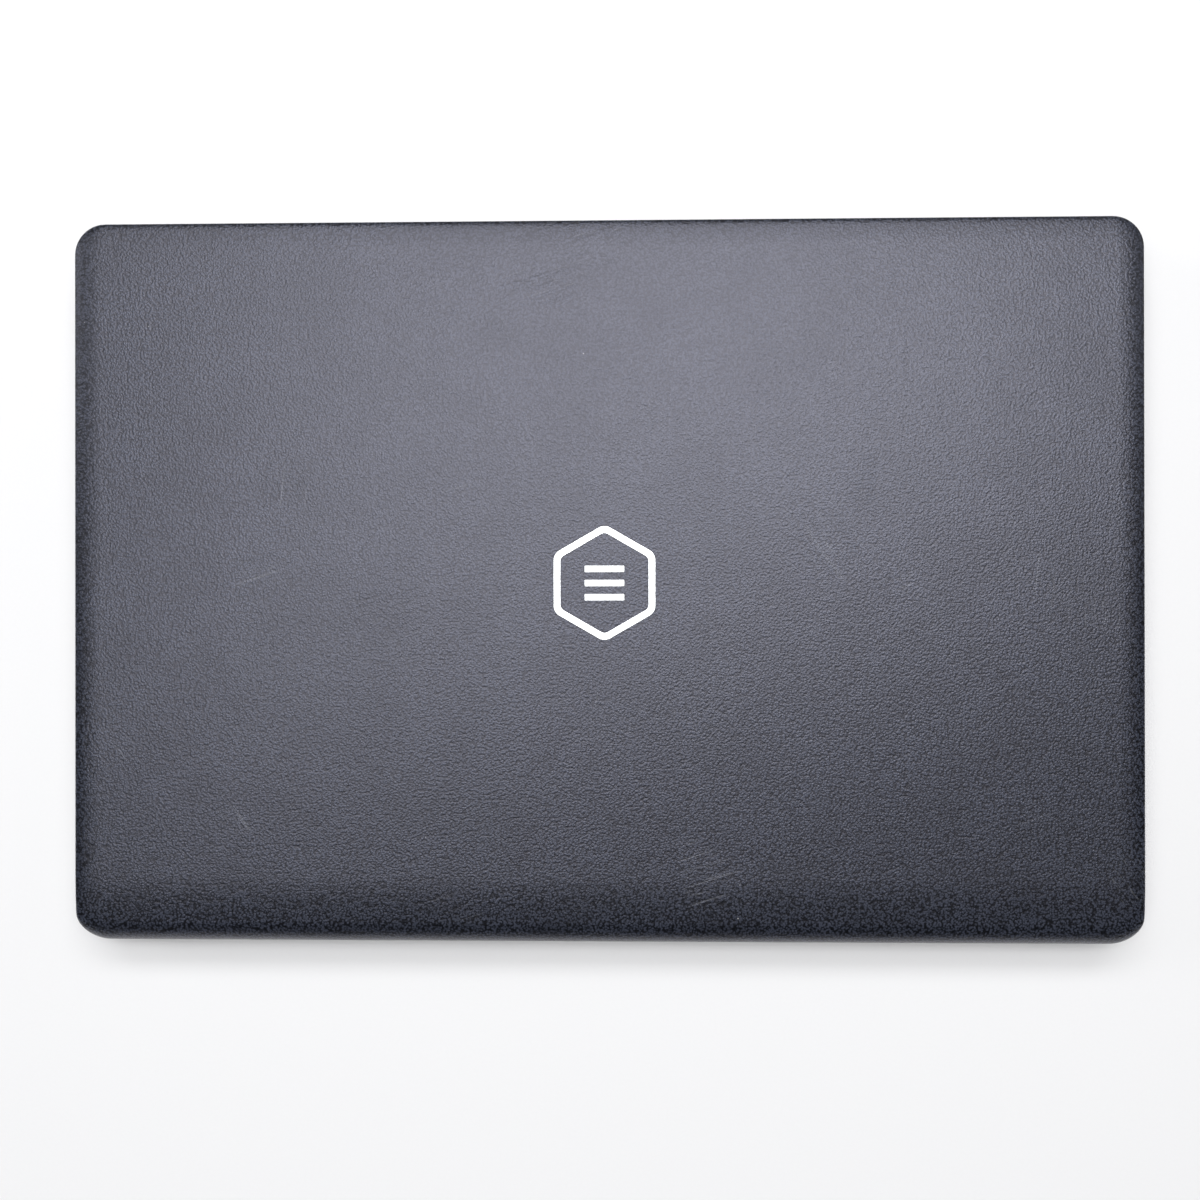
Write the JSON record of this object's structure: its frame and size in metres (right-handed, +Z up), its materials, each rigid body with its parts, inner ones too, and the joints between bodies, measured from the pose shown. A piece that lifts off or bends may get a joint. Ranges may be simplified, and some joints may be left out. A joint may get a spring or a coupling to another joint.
{
  "type": "laptop computer",
  "caption": "Clamshell laptop computer, closed at rest, with a hinged display lid, sprung keys, a clicking touchpad, a spinning fan and sockets on both sides.",
  "frame": {"origin": "on the table, under the middle of the closed laptop's outline", "axes": "+X to the user's right, +Y from the front edge to the hinges, +Z up; the lid is closed at rest"},
  "size_m": [0.38, 0.258, 0.0227],
  "materials": {
    "lid_plastic": "slate grey moulded plastic with a fine pebbled texture",
    "badge_metal": "bright silver inlay",
    "black_plastic": "black fine-textured plastic",
    "dark_plastic": "dark grey textured plastic",
    "panel_frame": "pale backlight tray",
    "screen_glass": "dark display glass",
    "circuit_board": "solder-masked laminate",
    "lens_glass": "dark lens window",
    "copper_foil": "copper foil",
    "hinge_steel": "stamped steel",
    "screw_steel": "blackened steel",
    "soft_rubber": "soft black rubber",
    "cable_jacket": "black cable jacket",
    "bottom_plastic": "coarse-textured dark plastic",
    "case_plastic": "dark grey fine-textured plastic",
    "key_plastic": "satin black key plastic",
    "bright_aluminium": "plain sheet",
    "copper": "flattened copper pipe",
    "battery_wrap": "black wrapped cells",
    "drive_aluminium": "cast and sheet case",
    "cell_steel": "coin cell steel",
    "socket_steel": "tinned sheet shell",
    "light_pipe": "milky light pipe",
    "pad_plastic": "smooth satin plastic"
  },
  "bodies": {
    "base": {"bottom_cover": "bottom_plastic", "top_case": "case_plastic", "hinge_bracket_left": "hinge_steel", "hinge_bracket_right": "hinge_steel", "hinge_caps": "dark_plastic", "display_cable_base": "cable_jacket", "inner_screws": "screw_steel", "keyboard_lattice": "key_plastic", "keyboard_plate": "bright_aluminium", "key_domes": "soft_rubber", "motherboard": "circuit_board", "heat_pipe": "copper", "heat_fins": "bright_aluminium", "fan_housing": "black_plastic", "battery": "battery_wrap", "hard_drive": "drive_aluminium", "solid_state_drive": "circuit_board", "memory_modules": "circuit_board", "wireless_card": "circuit_board", "clock_battery": "cell_steel", "speakers": "black_plastic", "daughter_boards": "circuit_board", "usb_ports": "socket_steel", "video_port": "socket_steel", "network_port": "black_plastic", "audio_jack": "black_plastic", "power_jack": "black_plastic", "card_slot": "socket_steel", "status_light": "light_pipe", "feet": "soft_rubber", "bottom_screws": "screw_steel"},
    "lid": {"lid_cover": "lid_plastic", "lid_badge": "badge_metal", "display_bezel": "black_plastic", "hinge_cover": "dark_plastic", "display_panel": "panel_frame", "display_glass": "screen_glass", "panel_board": "circuit_board", "camera_module": "circuit_board", "camera_window": "lens_glass", "antennas": "copper_foil", "hinge_arm_left": "hinge_steel", "hinge_arm_right": "hinge_steel", "hinge_shafts": "hinge_steel", "hinge_washers": "hinge_steel", "hinge_nuts": "hinge_steel", "lid_screws": "screw_steel", "bezel_bumpers": "soft_rubber", "display_cable_lid": "cable_jacket"},
    "fan": {"fan_rotor": "black_plastic"},
    "power_button": {"power_button": "case_plastic"},
    "touchpad": {"touchpad": "pad_plastic"},
    "function_keys": {"function_keys": "key_plastic"},
    "number_keys": {"number_keys": "key_plastic"},
    "upper_keys": {"upper_keys": "key_plastic"},
    "home_keys": {"home_keys": "key_plastic"},
    "lower_keys": {"lower_keys": "key_plastic"},
    "bottom_keys": {"bottom_keys": "key_plastic"},
    "space_bar": {"space_bar": "key_plastic"},
    "keypad_keys": {"keypad_keys": "key_plastic"}
  },
  "joints": [
    {"name": "lid_hinge", "type": "hinge", "parent": "base", "child": "lid", "pos_m": [0, 0.1204, 0.0141], "axis": [-1, 0, 0], "range_deg": [0, 135]},
    {"name": "fan_spin", "type": "hinge", "parent": "base", "child": "fan", "pos_m": [-0.139, 0.069, 0.0065], "axis": [0, 0, 1], "continuous": true},
    {"name": "power_button_press", "type": "slide", "parent": "base", "child": "power_button", "axis": [0, 0, -1], "range_m": [0, 0.0006], "stiffness_N_per_m": 400, "springref_m": -0.001},
    {"name": "touchpad_click", "type": "hinge", "parent": "base", "child": "touchpad", "pos_m": [-0.034, -0.032, 0.0147], "axis": [1, 0, 0], "range_deg": [0, 0.45], "stiffness_Nm_per_rad": 6, "springref_deg": -0.46},
    {"name": "function_keys_press", "type": "slide", "parent": "base", "child": "function_keys", "axis": [0, 0, -1], "range_m": [0, 0.0013], "stiffness_N_per_m": 250, "springref_m": -0.001},
    {"name": "number_keys_press", "type": "slide", "parent": "base", "child": "number_keys", "axis": [0, 0, -1], "range_m": [0, 0.0013], "stiffness_N_per_m": 250, "springref_m": -0.001},
    {"name": "upper_keys_press", "type": "slide", "parent": "base", "child": "upper_keys", "axis": [0, 0, -1], "range_m": [0, 0.0013], "stiffness_N_per_m": 250, "springref_m": -0.001},
    {"name": "home_keys_press", "type": "slide", "parent": "base", "child": "home_keys", "axis": [0, 0, -1], "range_m": [0, 0.0013], "stiffness_N_per_m": 250, "springref_m": -0.001},
    {"name": "lower_keys_press", "type": "slide", "parent": "base", "child": "lower_keys", "axis": [0, 0, -1], "range_m": [0, 0.0013], "stiffness_N_per_m": 250, "springref_m": -0.001},
    {"name": "bottom_keys_press", "type": "slide", "parent": "base", "child": "bottom_keys", "axis": [0, 0, -1], "range_m": [0, 0.0013], "stiffness_N_per_m": 250, "springref_m": -0.001},
    {"name": "space_bar_press", "type": "slide", "parent": "base", "child": "space_bar", "axis": [0, 0, -1], "range_m": [0, 0.0013], "stiffness_N_per_m": 250, "springref_m": -0.001},
    {"name": "keypad_keys_press", "type": "slide", "parent": "base", "child": "keypad_keys", "axis": [0, 0, -1], "range_m": [0, 0.0013], "stiffness_N_per_m": 250, "springref_m": -0.001}
  ]
}
